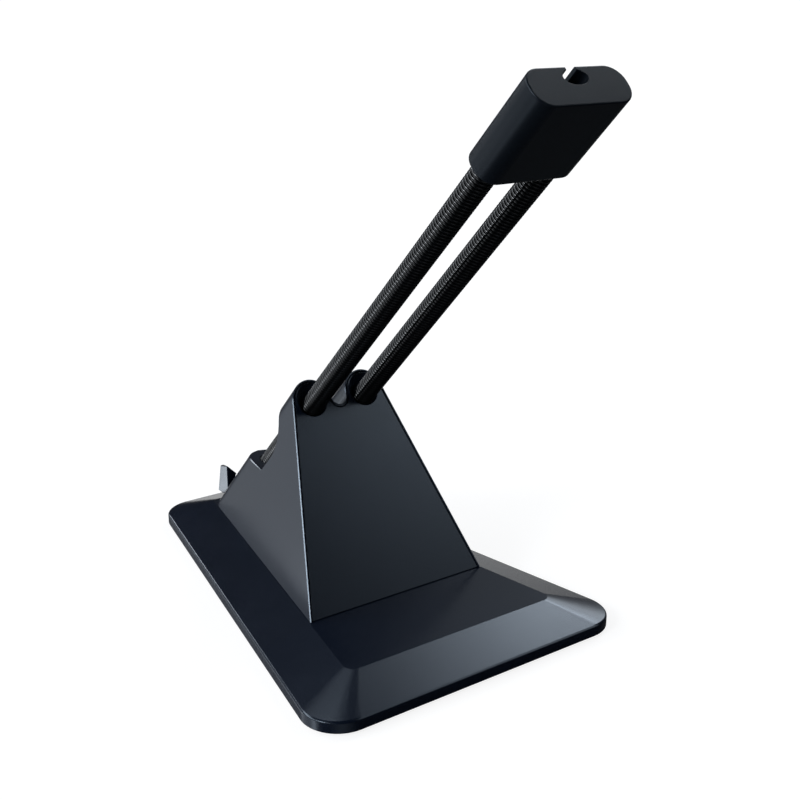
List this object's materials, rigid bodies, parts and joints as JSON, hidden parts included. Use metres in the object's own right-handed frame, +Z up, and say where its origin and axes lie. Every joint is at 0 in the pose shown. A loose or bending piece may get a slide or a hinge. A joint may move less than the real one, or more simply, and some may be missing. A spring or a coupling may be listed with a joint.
{
  "type": "mouse bungee",
  "caption": "Mouse bungee: weighted tapered base, wedge tower with a back groove and rear clip, and a slotted cable head held out in front on close-wound springs.",
  "frame": {"origin": "on the desk, below the middle of the object's whole length and width", "axes": "+Z up, +Y to the back of the base, so the spring arm leans towards -Y, +X across"},
  "size_m": [0.0714, 0.1254, 0.1131],
  "materials": {
    "base_plastic": "satin charcoal",
    "tower_plastic": "satin charcoal",
    "panel_plastic": "fine matte charcoal",
    "clip_plastic": "satin charcoal",
    "head_plastic": "matte charcoal",
    "steel_sheet": "black coated sheet",
    "screw_steel": "zinc plated",
    "spring_steel": "black coated wire",
    "foot_rubber": "matt rubber"
  },
  "bodies": {
    "stand": {"base_cover": "base_plastic", "bottom_plate": "steel_sheet", "ballast_plate": "steel_sheet", "base_screws": "screw_steel", "tower_shell": "tower_plastic", "tower_screws": "screw_steel", "front_panel": "panel_plastic", "rear_cable_clip": "clip_plastic", "left_spring": "spring_steel", "right_spring": "spring_steel", "left_anchor_pin": "screw_steel", "right_anchor_pin": "screw_steel", "spring_set_screws": "screw_steel", "front_left_foot": "foot_rubber", "front_right_foot": "foot_rubber", "back_left_foot": "foot_rubber", "back_right_foot": "foot_rubber"},
    "head": {"head_block": "head_plastic", "left_head_pin": "screw_steel", "right_head_pin": "screw_steel"}
  },
  "joints": [
    {"name": "arm_flex", "type": "hinge", "parent": "stand", "child": "head", "pos_m": [0, -0.01026, 0.06126], "axis": [1, 0, 0], "range_deg": [-10, 30], "stiffness_Nm_per_rad": 0.06, "springref_deg": -1.38, "deforming": ["left_spring", "right_spring"]}
  ]
}
